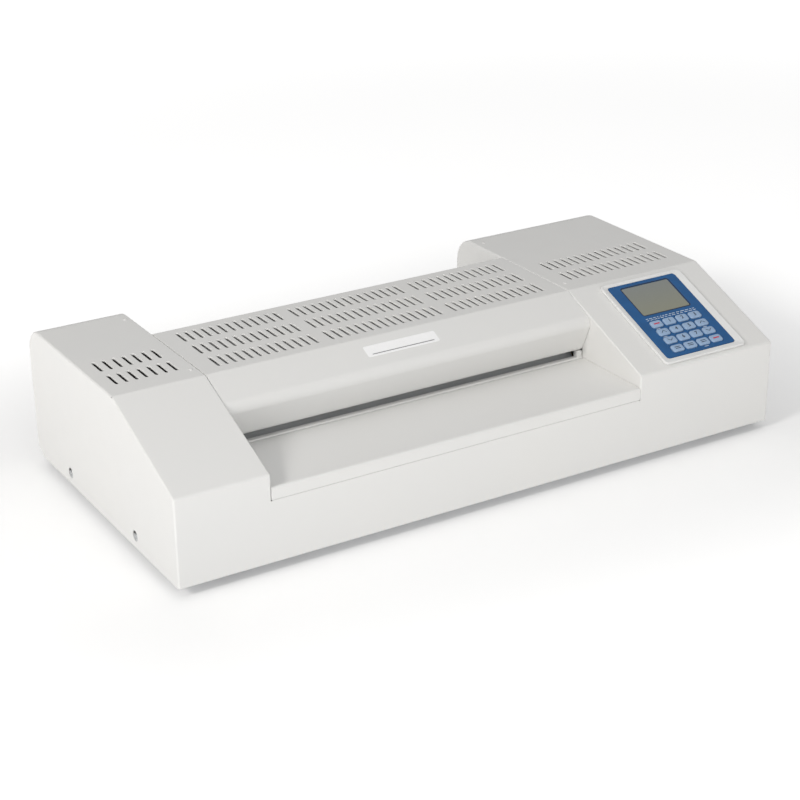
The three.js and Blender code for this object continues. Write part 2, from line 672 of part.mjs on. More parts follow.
// The rocker's two faces meet in a shallow V. It is placed with one end pressed in.
function rockerSwitch() {
  const edge = SWITCH.half_width * Math.tan(THREE.MathUtils.degToRad(SWITCH.tilt));
  const outline = flat([
    [-SWITCH.half_width, SWITCH.pivot + edge],
    [-8, -2],
    [8, -2],
    [SWITCH.half_width, SWITCH.pivot + edge],
    [0, SWITCH.pivot],
  ]);
  return alongZ(outline, -SWITCH.half_height, SWITCH.half_height);
}

piece(machine, 'mains_inlet', mainsInlet(), black_plastic);
const rocker = piece(machine, 'rocker_switch', rockerSwitch(), black_plastic);
rocker.position.set(INLET.x, INLET_FACE - SWITCH.pivot - SWITCH.sunk, SWITCH.z);
rocker.rotation.z = THREE.MathUtils.degToRad(SWITCH.tilt);

const laminator = new THREE.Group();
laminator.add(machine);

export default laminator;
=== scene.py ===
"""Desktop roll laminator: the visual model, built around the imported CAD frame. Metres, +Z up."""
import json
import math
import random

import bmesh
import bpy
from mathutils import Matrix, Vector


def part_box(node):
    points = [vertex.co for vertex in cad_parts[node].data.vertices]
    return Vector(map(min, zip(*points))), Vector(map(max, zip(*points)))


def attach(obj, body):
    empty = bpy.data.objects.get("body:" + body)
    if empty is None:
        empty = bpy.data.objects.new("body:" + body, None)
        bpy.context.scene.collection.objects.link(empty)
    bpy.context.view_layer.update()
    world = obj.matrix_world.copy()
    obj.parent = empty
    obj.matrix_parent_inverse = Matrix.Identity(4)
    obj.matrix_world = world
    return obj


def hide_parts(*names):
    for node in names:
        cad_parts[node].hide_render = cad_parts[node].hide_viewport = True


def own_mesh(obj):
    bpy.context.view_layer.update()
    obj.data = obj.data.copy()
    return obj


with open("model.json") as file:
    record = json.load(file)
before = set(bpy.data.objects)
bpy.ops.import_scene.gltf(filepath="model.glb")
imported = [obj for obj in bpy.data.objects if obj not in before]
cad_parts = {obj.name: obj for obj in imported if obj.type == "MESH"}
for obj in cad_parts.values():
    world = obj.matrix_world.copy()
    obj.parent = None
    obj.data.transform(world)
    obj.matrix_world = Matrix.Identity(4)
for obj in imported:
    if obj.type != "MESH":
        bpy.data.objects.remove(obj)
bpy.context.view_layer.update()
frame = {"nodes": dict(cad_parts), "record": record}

MM = 0.001

# ------------------------------------------------------------------------------------------------
# Sizes. Places come from the frame's boxes; the rest are the real part's own dimensions.
# ------------------------------------------------------------------------------------------------

SHEET = 1.2 * MM               # sheet-steel thickness
CASE_LOW, CASE_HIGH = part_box("outer_case")
TABLE_LOW, TABLE_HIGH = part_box("feed_table")
COVER_LOW, COVER_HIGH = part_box("top_cover")
FRONT, BACK = CASE_LOW.y, CASE_HIGH.y
BOTTOM, TOP = CASE_LOW.z, CASE_HIGH.z
WALL_L = CASE_LOW.x + 78.5 * MM  # inner faces of the two end blocks
WALL_R = CASE_HIGH.x - 140.5 * MM
FRONT_HEIGHT = 72.8 * MM
SLOPE_RUN = 104.2 * MM
SLOPE = math.atan2(TOP - BOTTOM - FRONT_HEIGHT, SLOPE_RUN)
REAR_RADIUS = 24 * MM
BEND = 2 * MM                  # outer radius of the case's bends
SEAM = 0.25 * MM               # how far the painted sheets reach into the slits round them

VENT_WIDTH = 2.5 * MM
VENT_LENGTH = 20 * MM
COVER_PITCH, COVER_PLACES, COVER_GAPS = 7.31 * MM, 43, (13, 29)
LEFT_PITCH, LEFT_PLACES = 8.33 * MM, 7
RIGHT_PITCH, RIGHT_PLACES = 7.4 * MM, 15
COVER_ROWS = [115 * MM, 145 * MM, 175 * MM]
BLOCK_ROWS = [124.5 * MM, 154 * MM]

NOSE_TOP, NOSE_FOOT = (104.2, 115.4), (76.24, 102.5)  # ends of the cover's sloping face, in mm
LABEL_AT, LABEL_SIZE = (-34.5, 90.2), (67, 12)
SLEEVE_HALF = 169.4 * MM
SLEEVE_RADIUS = 14.95          # in mm, 0.05 under the CAD's 15: at 15 the clash test found pairs touching
SLEEVE_EDGE = 14.6

# The camera was fitted to the case's corners in the photo.
CAMERA_TURN = (-30.84, 23.75, -0.709)  # azimuth, elevation and roll in degrees
CAMERA_PLACE = (-0.7492, -1.2431, 0.6796)
CAMERA_LENS = 83.72

BODY_OF = {node: body for body, nodes in frame["record"]["behaviour"]["bodies"].items() for node in nodes}
SLOT_OF = {row["node"]: row["material_slot"] for row in frame["record"]["subparts"]}


def from_front(y_mm):
    return FRONT + y_mm * MM


def from_bottom(z_mm):
    return BOTTOM + z_mm * MM


def section(points_mm):
    """(y, z) points given from the case's front face and underside, in millimetres."""
    return [(from_front(y), from_bottom(z)) for y, z in points_mm]


# ------------------------------------------------------------------------------------------------
# Materials
# ------------------------------------------------------------------------------------------------

class Shader:
    """A node material whose colour, roughness and bump come from object-space noise."""

    def __init__(self, name):
        self.material = bpy.data.materials.new(name)
        self.material.use_nodes = True
        self.tree = self.material.node_tree
        self.principled = self.tree.nodes["Principled BSDF"]
        self.place = self.tree.nodes.new("ShaderNodeTexCoord").outputs["Object"]

    def node(self, kind, **values):
        made = self.tree.nodes.new(kind)
        for key, value in values.items():
            setattr(made, key, value)
        return made

    def link(self, output, socket):
        self.tree.links.new(output, socket)

    def noise(self, per_metre, detail=3.0, stretch=(1, 1, 1)):
        mapping = self.node("ShaderNodeMapping")
        mapping.inputs["Scale"].default_value = stretch
        texture = self.node("ShaderNodeTexNoise")
        texture.inputs["Scale"].default_value = per_metre
        texture.inputs["Detail"].default_value = detail
        self.link(self.place, mapping.inputs["Vector"])
        self.link(mapping.outputs["Vector"], texture.inputs["Vector"])
        return texture.outputs[0]

    def span(self, value, low, high):
        """Maps the middle of a noise's range onto low..high."""
        mapped = self.node("ShaderNodeMapRange")
        for key, number in (("From Min", 0.3), ("From Max", 0.7), ("To Min", low), ("To Max", high)):
            mapped.inputs[key].default_value = number
        self.link(value, mapped.inputs["Value"])
        return mapped.outputs["Result"]

    def mix(self, factor, first, second):
        mixed = self.node("ShaderNodeMix", data_type="RGBA")
        self.link(factor, mixed.inputs["Factor"])
        for name, value in (("A", first), ("B", second)):
            socket = [s for s in mixed.inputs if s.name == name and s.type == "RGBA"][0]
            if isinstance(value, tuple):
                socket.default_value = (*value, 1)
            else:
                self.link(value, socket)
        return [s for s in mixed.outputs if s.type == "RGBA"][0]

    def bump(self, height, strength, depth):
        bump = self.node("ShaderNodeBump")
        bump.inputs["Strength"].default_value = strength
        bump.inputs["Distance"].default_value = depth
        self.link(height, bump.inputs["Height"])
        if self.principled.inputs["Normal"].is_linked:
            before = self.principled.inputs["Normal"].links[0].from_socket
            self.link(before, bump.inputs["Normal"])
        self.link(bump.outputs["Normal"], self.principled.inputs["Normal"])


def shaded(name, color, roughness, metallic=0.0, shift=0.06, cloud=9, grain=900, grain_strength=0.12,
           grain_depth=0.00008, stretch=(1, 1, 1), coat=0.0, specular=0.5):
    """A material with slow colour drift, patchy roughness and a fine surface grain."""
    shader = Shader(name)
    darker = tuple(c * (1 - shift) for c in color)
    lighter = tuple(min(1.0, c * (1 + shift)) for c in color)
    drift = shader.span(shader.noise(cloud, 4.0), 0.0, 1.0)
    shader.link(shader.mix(drift, darker, lighter), shader.principled.inputs["Base Color"])
    patch = shader.noise(cloud * 6, 3.0, stretch)
    spread = 0.12 * roughness
    shader.link(shader.span(patch, roughness - spread, roughness + spread), shader.principled.inputs["Roughness"])
    shader.principled.inputs["Metallic"].default_value = metallic
    shader.principled.inputs["Coat Weight"].default_value = coat
    shader.principled.inputs["Coat Roughness"].default_value = 0.12
    shader.principled.inputs["Specular IOR Level"].default_value = specular
    shader.bump(shader.noise(grain, 2.0, stretch), grain_strength, grain_depth)
    return shader.material


def enamel():
    """Powder coat: off-white, a faint orange peel, and very slight yellowing in slow patches."""
    shader = Shader("powder_coat")
    drift = shader.span(shader.noise(5, 3.0), 0.0, 1.0)
    cool, warm = (0.775, 0.775, 0.765), (0.800, 0.790, 0.765)
    tone = shader.mix(drift, cool, warm)
    speck = shader.span(shader.noise(1500, 2.0), 0.0, 1.0)
    shader.link(shader.mix(speck, tone, (0.785, 0.782, 0.768)), shader.principled.inputs["Base Color"])
    shader.link(shader.span(shader.noise(60, 3.0), 0.40, 0.50), shader.principled.inputs["Roughness"])
    shader.principled.inputs["Specular IOR Level"].default_value = 0.4
    shader.bump(shader.noise(420, 1.0), 0.05, 0.0002)
    shader.bump(shader.noise(1400, 2.0), 0.08, 0.00006)
    return shader.material


def display_glass():
    """Liquid crystal seen through glass: olive grey with a fine cell pattern, and painted shade that makes it darker
    and bluer towards its upper edge.
    """
    shader = Shader("display_glass")
    low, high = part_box("display_window")
    split = shader.node("ShaderNodeSeparateXYZ")
    shader.link(shader.place, split.inputs["Vector"])
    along = shader.node("ShaderNodeMapRange")
    along.inputs["From Min"].default_value = low.z
    along.inputs["From Max"].default_value = high.z
    shader.link(split.outputs["Z"], along.inputs["Value"])
    # Painted shade: the colour turns darker and bluer from the lower edge to the upper edge.
    tone = shader.mix(along.outputs["Result"], (0.250, 0.252, 0.180), (0.215, 0.232, 0.225))
    cells = shader.span(shader.noise(2200, 1.0), 0.0, 0.35)
    shader.link(shader.mix(cells, tone, (0.19, 0.20, 0.165)), shader.principled.inputs["Base Color"])
    shader.principled.inputs["Roughness"].default_value = 0.28
    shader.principled.inputs["Coat Weight"].default_value = 0.5
    shader.principled.inputs["Coat Roughness"].default_value = 0.05
    shader.bump(shader.noise(300, 1.0), 0.02, 0.00005)
    return shader.material


MATERIALS = {
    "enamel": enamel(),
    "zinc": shaded("zinc_plate", (0.58, 0.59, 0.60), 0.36, 1.0, 0.10, 40, 1600, 0.10, stretch=(1, 1, 6)),
    "spring_steel": shaded("spring_wire", (0.46, 0.46, 0.47), 0.30, 1.0, 0.10, 80),
    "silicone": shaded("silicone_rubber", (0.560, 0.570, 0.580), 0.50, 0.0, 0.05, 30, 2500, 0.25),
    "foot_rubber": shaded("foot_rubber", (0.022, 0.022, 0.023), 0.75, 0.0, 0.20, 60, 1800, 0.35),
    "bronze": shaded("sintered_bronze", (0.45, 0.29, 0.13), 0.42, 1.0, 0.12, 90, 3000, 0.25),
    "acetal": shaded("acetal", (0.72, 0.69, 0.60), 0.45, 0.0, 0.05, 60, 1500, 0.10),
    "heater_plate": shaded("heater_plate", (0.66, 0.67, 0.68), 0.40, 1.0, 0.06, 25, 1800, 0.15, stretch=(0.05, 1, 1)),
    "motor_steel": shaded("motor_steel", (0.30, 0.31, 0.32), 0.40, 1.0, 0.10, 50, 1600, 0.12),
    "circuit_board": shaded("circuit_board", (0.020, 0.130, 0.065), 0.40, 0.0, 0.15, 50, 1200, 0.10),
    "blue_film": shaded("blue_film", (0.008, 0.092, 0.265), 0.38, 0.0, 0.10, 70, 2600, 0.22, specular=0.35),
    "key_plastic": shaded("key_plastic", (0.300, 0.430, 0.620), 0.32, 0.0, 0.05, 90, 2200, 0.12, coat=0.2),
    "bezel_plastic": shaded("bezel_plastic", (0.80, 0.80, 0.79), 0.38, 0.0, 0.03, 40, 1800, 0.14),
    "display": display_glass(),
    "black_plastic": shaded("black_plastic", (0.014, 0.014, 0.015), 0.45, 0.0, 0.20, 70, 1500, 0.25),
}
PRINT_DARK = shaded("print_dark", (0.012, 0.016, 0.040), 0.45, 0.0, 0.2, 200, 2500, 0.1)
PRINT_RED = shaded("print_red", (0.560, 0.035, 0.075), 0.45, 0.0, 0.1, 200, 2500, 0.1)
PRINT_GREY = shaded("print_grey", (0.30, 0.30, 0.31), 0.45, 0.0, 0.1, 200, 2500, 0.1)
PRINT_PALE = shaded("print_pale", (0.58, 0.66, 0.76), 0.45, 0.0, 0.1, 200, 2500, 0.1)
PRINT_WHITE = shaded("print_white", (0.97, 0.97, 0.97), 0.30, 0.0, 0.01, 200, 2500, 0.05, coat=0.3)


# ------------------------------------------------------------------------------------------------
# Mesh tools
# ------------------------------------------------------------------------------------------------

def ring_faces(bm, rings, closed=True):
    """Quads between rings of vertices that have the same count."""
    for near, far in zip(rings, rings[1:]):
        count = len(near)
        for i in range(count if closed else count - 1):
            j = (i + 1) % count
            bm.faces.new((near[i], near[j], far[j], far[i]))


def loft(bm, rings, cap_first=True, cap_last=True):
    """A closed skin through rings of points, each ring in the same order."""
    made = [[bm.verts.new(p) for p in ring] for ring in rings]
    ring_faces(bm, made)
    if cap_first:
        bm.faces.new(list(reversed(made[0])))
    if cap_last:
        bm.faces.new(made[-1])
    return made


def object_from(bm, name):
    bmesh.ops.recalc_face_normals(bm, faces=bm.faces)
    mesh = bpy.data.meshes.new(name)
    bm.to_mesh(mesh)
    bm.free()
    obj = bpy.data.objects.new(name, mesh)
    bpy.context.scene.collection.objects.link(obj)
    return obj


def apply_modifiers(obj):
    depsgraph = bpy.context.evaluated_depsgraph_get()
    depsgraph.update()
    mesh = bpy.data.meshes.new_from_object(obj.evaluated_get(depsgraph))
    obj.modifiers.clear()
    obj.data = mesh


def combine(obj, other, operation="DIFFERENCE"):
    """Cuts or joins other into obj, and removes other."""
    modifier = obj.modifiers.new("combine", "BOOLEAN")
    modifier.object = other
    modifier.operation = operation
    modifier.solver = "EXACT"
    apply_modifiers(obj)
    bpy.data.objects.remove(other)


def soften(obj, width, segments=2, angle=50, profile=0.5):
    """Rounds every edge sharper than the angle."""
    modifier = obj.modifiers.new("soften", "BEVEL")
    modifier.width = width
    modifier.segments = segments
    modifier.limit_method = "ANGLE"
    modifier.angle_limit = math.radians(angle)
    modifier.profile = profile
    modifier.harden_normals = False
    return modifier


def smooth(mesh, angle=32):
    mesh.polygons.foreach_set("use_smooth", [True] * len(mesh.polygons))
    mesh.set_sharp_from_angle(angle=math.radians(angle))


def finish_piece(obj, material, body="case", slot=None, nodes=(), smooth_angle=32, weighted=True):
    """Gives a piece its material and shading, sets what it rides on, and hides the CAD nodes it stands for."""
    obj.data.materials.clear()
    obj.data.materials.append(material)
    smooth(obj.data, smooth_angle)
    if weighted:
        normals = obj.modifiers.new("normals", "WEIGHTED_NORMAL")
        normals.keep_sharp = True
    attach(obj, body)
    if nodes:
        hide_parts(*nodes)
    return obj


def stands_for(obj, node, **options):
    """Finishes a piece that replaces one CAD node, with that node's body and material slot."""
    slot = SLOT_OF[node]
    return finish_piece(obj, MATERIALS[slot], BODY_OF[node], slot, [node], **options)


def box_mesh(bm, low, high):
    corners = [Vector((x, y, z)) for z in (low[2], high[2]) for x, y in
               ((low[0], low[1]), (high[0], low[1]), (high[0], high[1]), (low[0], high[1]))]
    loft(bm, [corners[:4], corners[4:]])


def box_object(name, low, high):
    bm = bmesh.new()
    box_mesh(bm, low, high)
    return object_from(bm, name)


def arc(cy, cz, radius, start, end, steps):
    return [
        (cy + radius * math.cos(math.radians(start + (end - start) * i / steps)),
         cz + radius * math.sin(math.radians(start + (end - start) * i / steps)))
        for i in range(steps + 1)
    ]


def filleted(points, radius, steps=5):
    """An open (y, z) path with each inner corner rounded."""
    path = [points[0]]
    for before, corner, after in zip(points, points[1:], points[2:]):
        a = (Vector(before) - Vector(corner)).normalized()
        b = (Vector(after) - Vector(corner)).normalized()
        half = a.angle(b) / 2
        reach = radius / math.tan(half)
        centre = Vector(corner) + (a + b).normalized() * (radius / math.sin(half))
        start = Vector(corner) + a * reach - centre
        end = Vector(corner) + b * reach - centre
        turn = start.angle_signed(end)
        for i in range(steps + 1):
            spin = Matrix.Rotation(-turn * i / steps, 2)
            path.append(tuple(centre + spin @ start))
    path.append(points[-1])
    return path


def inner_side(path, thickness):
    """The path moved by the thickness to the right of its direction of travel, mitred at each point."""
    runs = [(Vector(b) - Vector(a)).normalized() for a, b in zip(path, path[1:])]
    normals = [Vector((run.y, -run.x)) for run in runs]
    moved = []
    for i, point in enumerate(path):
        before, after = normals[max(i - 1, 0)], normals[min(i, len(normals) - 1)]
        moved.append(tuple(Vector(point) + (before + after) * (thickness / (1 + before.dot(after)))))
    return moved


def bent_sheet(name, path, x0, x1, edge=0.25 * MM, thickness=SHEET):
    """Sheet metal bent along a (y, z) path, from x0 to x1, with its cut edges softened."""
    section_points = path + list(reversed(inner_side(path, thickness)))
    half = len(path)
    bm = bmesh.new()
    ends = [[bm.verts.new((x, y, z)) for y, z in section_points] for x in (x0, x1)]
    ring_faces(bm, ends)
    for end in ends:
        for i in range(half - 1):
            bm.faces.new((end[i], end[i + 1], end[2 * half - 2 - i], end[2 * half - 1 - i]))
    obj = object_from(bm, name)
    if edge:
        soften(obj, edge, 2, 60)
        apply_modifiers(obj)
    return obj


def stadium(x, y0, y1, grow, z, steps=6):
    """A slot outline with round ends, running along Y, grown outwards by the given amount."""
    radius = VENT_WIDTH / 2
    ring = []
    for end, first in ((y1 - radius, 0), (y0 + radius, math.pi)):
        for i in range(steps + 1):
            a = first + math.pi * i / steps
            ring.append(Vector((x + (radius + grow) * math.cos(a), end + (radius + grow) * math.sin(a), z)))
    return ring


def slot_cutter(places, surface, facing=1):
    """Slots through a level sheet whose outer face is at height surface. The cutter flares at that face,
    so each slot gets a rolled edge. places lists (x, y0, y1)."""
    roll = 0.8 * MM
    bm = bmesh.new()
    for x, y0, y1 in places:
        rings = [stadium(x, y0, y1, 0, surface - facing * 3 * MM)]
        for degrees in (0, 25, 50, 75):
            turn = math.radians(degrees)
            drop = roll * (1 - math.sin(turn))
            rings.append(stadium(x, y0, y1, roll * (1 - math.cos(turn)), surface - facing * drop))
        rings.append(stadium(x, y0, y1, roll, surface + facing * 0.04 * roll))
        loft(bm, rings)
    return object_from(bm, "slots")


def vent_places(middle, pitch, count, rows, left_out=()):
    return [
        (middle + (i - (count - 1) / 2) * pitch, FRONT + row, FRONT + row + VENT_LENGTH)
        for row in rows for i in range(count) if i not in left_out
    ]


def lathe(bm, profile, axis, centre, segments=64):
    """Turns a (radius, along) profile about an axis letter through centre. Zero radii close the ends."""
    across = {"X": (Vector((0, 1, 0)), Vector((0, 0, 1))), "Y": (Vector((0, 0, 1)), Vector((1, 0, 0))),
              "Z": (Vector((1, 0, 0)), Vector((0, 1, 0)))}[axis]
    along = {"X": Vector((1, 0, 0)), "Y": Vector((0, 1, 0)), "Z": Vector((0, 0, 1))}[axis]
    rings = []
    for radius, place in profile:
        if radius <= 0:
            continue
        rings.append([
            Vector(centre) + along * place
            + across[0] * (radius * math.cos(2 * math.pi * i / segments))
            + across[1] * (radius * math.sin(2 * math.pi * i / segments))
            for i in range(segments)
        ])
    return loft(bm, rings)


def turned(name, profile, axis, centre, segments=64):
    bm = bmesh.new()
    lathe(bm, profile, axis, centre, segments)
    return object_from(bm, name)


# ------------------------------------------------------------------------------------------------
# Sheet-metal case
# ------------------------------------------------------------------------------------------------

def block_outline():
    """The side outline of an end block, from the front's foot over the top to the back's foot."""
    height = (TOP - BOTTOM) / MM
    depth = (BACK - FRONT) / MM
    radius = REAR_RADIUS / MM
    return section([(0, 0), (0, FRONT_HEIGHT / MM), (SLOPE_RUN / MM, height)]
                   + arc(depth - radius, height - radius, radius, 90, 0, 24)
                   + [(depth, 6), (depth - 10.4, 0)])


def block_shell(name, x0, x1, inner_is_far):
    """One end block: a closed box with rounded bends, opened below, then given the sheet's thickness.
    The bends of its inner wall are tighter, where it meets the cover."""
    outline = block_outline()
    bm = bmesh.new()
    weight = bm.edges.layers.float.new("bevel_weight_edge")
    near = [bm.verts.new((x0, y, z)) for y, z in outline]
    far = [bm.verts.new((x1, y, z)) for y, z in outline]
    ring_faces(bm, [near, far])
    bm.faces.new(near)
    bm.faces.new(list(reversed(far)))
    bm.edges.ensure_lookup_table()
    for ring in (near, far):
        tight = (ring is far) == inner_is_far
        for i, vertex in enumerate(ring[:-1]):
            bm.edges.get((vertex, ring[i + 1]))[weight] = 0.65 if tight else 0.9
    bm.edges.get((near[1], far[1]))[weight] = 0.9
    bm.edges.get((near[2], far[2]))[weight] = 0.4
    obj = object_from(bm, name)
    modifier = obj.modifiers.new("bends", "BEVEL")
    modifier.limit_method = "WEIGHT"
    modifier.width = BEND
    modifier.segments = 4
    apply_modifiers(obj)
    bm = bmesh.new()
    bm.from_mesh(obj.data)
    below = [f for f in bm.faces if f.normal.z < -0.99 and f.calc_center_median().z < BOTTOM + 0.1 * MM]
    bmesh.ops.delete(bm, geom=below, context="FACES")
    bm.to_mesh(obj.data)
    bm.free()
    wall = obj.modifiers.new("wall", "SOLIDIFY")
    wall.thickness = SHEET
    wall.offset = -1
    wall.use_even_offset = True
    apply_modifiers(obj)
    return obj


def round_cutter(places, axis, depth=4 * MM):
    """Round holes through a sheet. places lists (centre, radius)."""
    bm = bmesh.new()
    for centre, radius in places:
        lathe(bm, [(radius, -depth), (radius, depth)], axis, centre, 20)
    return object_from(bm, "holes")


SCREWS_Y = [77.1, 206.6]
SCREWS_Z = 9.8


def screw_holes(x, outward):
    """Clearance holes in a side for the two screws that hold the base pan, with a turned-in edge."""
    profile = [(4.4, -3), (4.4, -0.35), (4.5, -0.15), (4.8, 0), (5.6, 0.3)]
    bm = bmesh.new()
    for y in SCREWS_Y:
        lathe(bm, [(r * MM, outward * along * MM) for r, along in profile], "X",
              (x, from_front(y), from_bottom(SCREWS_Z)), 32)
    return object_from(bm, "screw_holes")


def side_screw(name, x, y, outward):
    """A cross-head screw at the bottom of its clearance hole and a little off its middle, with a black disc behind it
    that paints the shade in the gap round the head.
    """
    middle = Vector((x, from_front(y), from_bottom(SCREWS_Z)))
    # Painted shade: a black disc that darkens the gap between the screw head and the edge of the hole.
    ring = [(4.3, -1.3), (4.3, -0.9), (0.01, -0.8)]
    shade_disc = turned(name + "_washer", [(r * MM, outward * along * MM) for r, along in ring], "X", middle, 32)
    finish_piece(shade_disc, MATERIALS["black_plastic"], "case", "black_plastic")
    middle += Vector((0.35 * outward, -0.7, -0.8)) * MM
    profile = [(1.5, -1.5), (3.4, -1.1), (3.45, -0.7), (3.2, -0.4), (2.6, -0.15), (1.3, -0.05), (0.01, 0)]
    head = turned(name, [(r * MM, outward * along * MM) for r, along in profile], "X", middle, 40)
    for half_y, half_z in ((1.9, 0.45), (0.45, 1.9)):
        low = middle - Vector((0.7, half_y, half_z)) * MM
        high = middle + Vector((0.7, half_y, half_z)) * MM
        combine(head, box_object("cross", low, high))
    soften(head, 0.1 * MM, 1, 40)
    return finish_piece(head, MATERIALS["zinc"], "case", "zinc")


def inner_wall_cuts(shell, wall):
    """Opens an inner wall where the rollers pass, and over the base pan's flanges."""
    outline = section([(81, -1), (204, -1), (204, 108), (88, 108), (88, 98), (81, 98)])
    bm = bmesh.new()
    loft(bm, [[Vector((x, y, z)) for y, z in outline] for x in (wall - 1.4 * MM, wall + SHEET + 1.4 * MM)])
    combine(shell, object_from(bm, "window"))
    undercut = box_object("undercut", (wall - MM, from_front(3), BOTTOM - MM),
                          (wall + SHEET + MM, from_front(269), from_bottom(16)))
    combine(shell, undercut)


def outer_case():
    left, right = CASE_LOW.x, CASE_HIGH.x
    case = block_shell("outer_shell", left, WALL_L, True)
    combine(case, slot_cutter(vent_places((left + WALL_L) / 2, LEFT_PITCH, LEFT_PLACES, BLOCK_ROWS), TOP))
    combine(case, screw_holes(left, -1))
    combine(case, round_cutter([((left + 0.9 * MM, FRONT + SLOPE_RUN, TOP), 0.6 * MM)], "Z", 2 * MM))
    inner_wall_cuts(case, WALL_L - SHEET)

    other = block_shell("right_shell", WALL_R, right, False)
    middle = (WALL_R + right) / 2 + 1.4 * MM
    combine(other, slot_cutter(vent_places(middle, RIGHT_PITCH, RIGHT_PLACES, BLOCK_ROWS), TOP))
    combine(other, screw_holes(right, 1))
    inner_wall_cuts(other, WALL_R)
    combine(other, on_panel(rounded_plate("panel_opening", (70.5, 56), (67, 88), 2, -5, 5)))
    inlet_low, inlet_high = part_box("mains_inlet")
    middle = (inlet_low.x + inlet_high.x) / 2
    hole = box_object("inlet_hole", (middle - 13.8 * MM, BACK - 3 * MM, from_bottom(28.2)),
                      (middle + 13.8 * MM, BACK + 3 * MM, from_bottom(75.8)))
    combine(other, hole)

    combine(case, other, "UNION")
    strip = box_object("strip", (WALL_L - 3 * MM, FRONT, BOTTOM), (WALL_R + 3 * MM, FRONT + SHEET, from_bottom(51.45)))
    combine(case, strip, "UNION")
    reliefs = [((x, FRONT, from_bottom(51.5)), 0.8 * MM) for x in (WALL_L + 0.2 * MM, WALL_R - 0.2 * MM)]
    combine(case, round_cutter(reliefs, "Y"))
    return stands_for(case, "outer_case", smooth_angle=30)


def top_cover():
    """The cover's nose rolls under towards the entry slot; its back drops to the exit slot."""
    height = (TOP - BOTTOM) / MM
    back = (COVER_HIGH.y - FRONT) / MM
    path = ([(85, 68.2)] + arc(85.6, 74.1, 6, 250, 190, 8) + arc(79.6, 94.6, 8.6, 198, 113, 14)
            + [(103.6, height - 0.2), (104.8, height)]
            + arc(back - 4, height - 4, 4, 90, 0, 8)
            + arc(back - 4, 71.5, 4, 0, -80, 8))
    cover = bent_sheet("cover", section(path), COVER_LOW.x - SEAM, COVER_HIGH.x + SEAM)
    middle = (COVER_LOW.x + COVER_HIGH.x) / 2
    places = vent_places(middle, COVER_PITCH, COVER_PLACES, COVER_ROWS, left_out=COVER_GAPS)
    combine(cover, slot_cutter(places, TOP))
    return stands_for(cover, "top_cover", smooth_angle=30)


def cover_label():
    """A plain white label on the nose with one plain grey line, and no lettering."""
    slope = (NOSE_TOP[1] - NOSE_FOOT[1]) / (NOSE_TOP[0] - NOSE_FOOT[0])
    tilt = math.atan(slope)
    along = Vector((0, math.cos(tilt), math.sin(tilt)))
    out = Vector((0, -math.sin(tilt), math.cos(tilt)))
    x, y = LABEL_AT
    origin = Vector((x * MM, from_front(y), from_bottom(NOSE_FOOT[1] + (y - NOSE_FOOT[0]) * slope)))
    place = Matrix.Translation(origin) @ Matrix((Vector((1, 0, 0)), along, out)).transposed().to_4x4()
    label = rounded_plate("label", (0, 0), LABEL_SIZE, 1.6, -0.05, 0.14, 0.06)
    label.data.transform(place)
    finish_piece(label, PRINT_WHITE, "case", "enamel")
    bm = bmesh.new()
    loft(bm, [[Vector((a, b, n)) * MM for a, b in bar(0, -3.6, 58, 0.9)] for n in (0.1, 0.19)])
    line = object_from(bm, "label_line")
    line.data.transform(place)
    finish_piece(line, PRINT_GREY, "case", "enamel", weighted=False)


def feed_table():
    low, high = TABLE_LOW, TABLE_HIGH
    back = high.y + SEAM
    path = [(low.y, low.z), (low.y, high.z), (back, high.z), (back, high.z - 8 * MM)]
    table = bent_sheet("table", filleted(path, 1.8 * MM, 6), low.x - SEAM, high.x + SEAM)
    return stands_for(table, "feed_table")


def entry_guide():
    """The channel behind the table, with an upstand at each end that blanks the end of the slot."""
    low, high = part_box("entry_guide")
    level = from_bottom(62.8)
    path = [(low.y, low.z), (low.y, level), (high.y, level), (high.y, low.z)]
    guide = bent_sheet("guide", filleted(path, 1.3 * MM, 4), low.x, high.x)
    for x0, x1 in ((low.x, low.x + 5.5 * MM), (high.x - 5.5 * MM, high.x)):
        upstand = box_object("upstand", (x0, low.y + MM, level - MM), (x1, high.y, from_bottom(68.1)))
        soften(upstand, 0.4 * MM, 2)
        apply_modifiers(upstand)
        combine(guide, upstand, "UNION")
    return stands_for(guide, "entry_guide")


def exit_guide():
    low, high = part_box("exit_guide")
    path = [(low.y, high.z - 9 * MM), (low.y, high.z), (high.y, high.z), (high.y, high.z - 8.5 * MM)]
    guide = bent_sheet("exit", filleted(path, 1.6 * MM, 5), low.x, high.x)
    return stands_for(guide, "exit_guide")


def rear_panel():
    low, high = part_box("rear_panel")
    path = [(high.y, high.z), (high.y, from_bottom(6)), (BACK - 10.4 * MM, BOTTOM)]
    panel = bent_sheet("rear", filleted(path, 1.5 * MM, 4), low.x, high.x)
    return stands_for(panel, "rear_panel")


def base_pan():
    """A tray with its flange up all round and two fields of air slots with round ends."""
    low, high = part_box("base_pan")
    pan = box_object("pan", low, high)
    soften(pan, 1.5 * MM, 3)
    apply_modifiers(pan)
    inside = box_object("inside", low + Vector((SHEET, SHEET, SHEET)), high + Vector((-SHEET, -SHEET, 3 * MM)))
    combine(pan, inside)
    middle = (WALL_L + WALL_R) / 2
    places = vent_places(middle, 11 * MM, 12, [70 * MM, 190 * MM])
    combine(pan, slot_cutter(places, low.z, -1))
    return stands_for(pan, "base_pan")


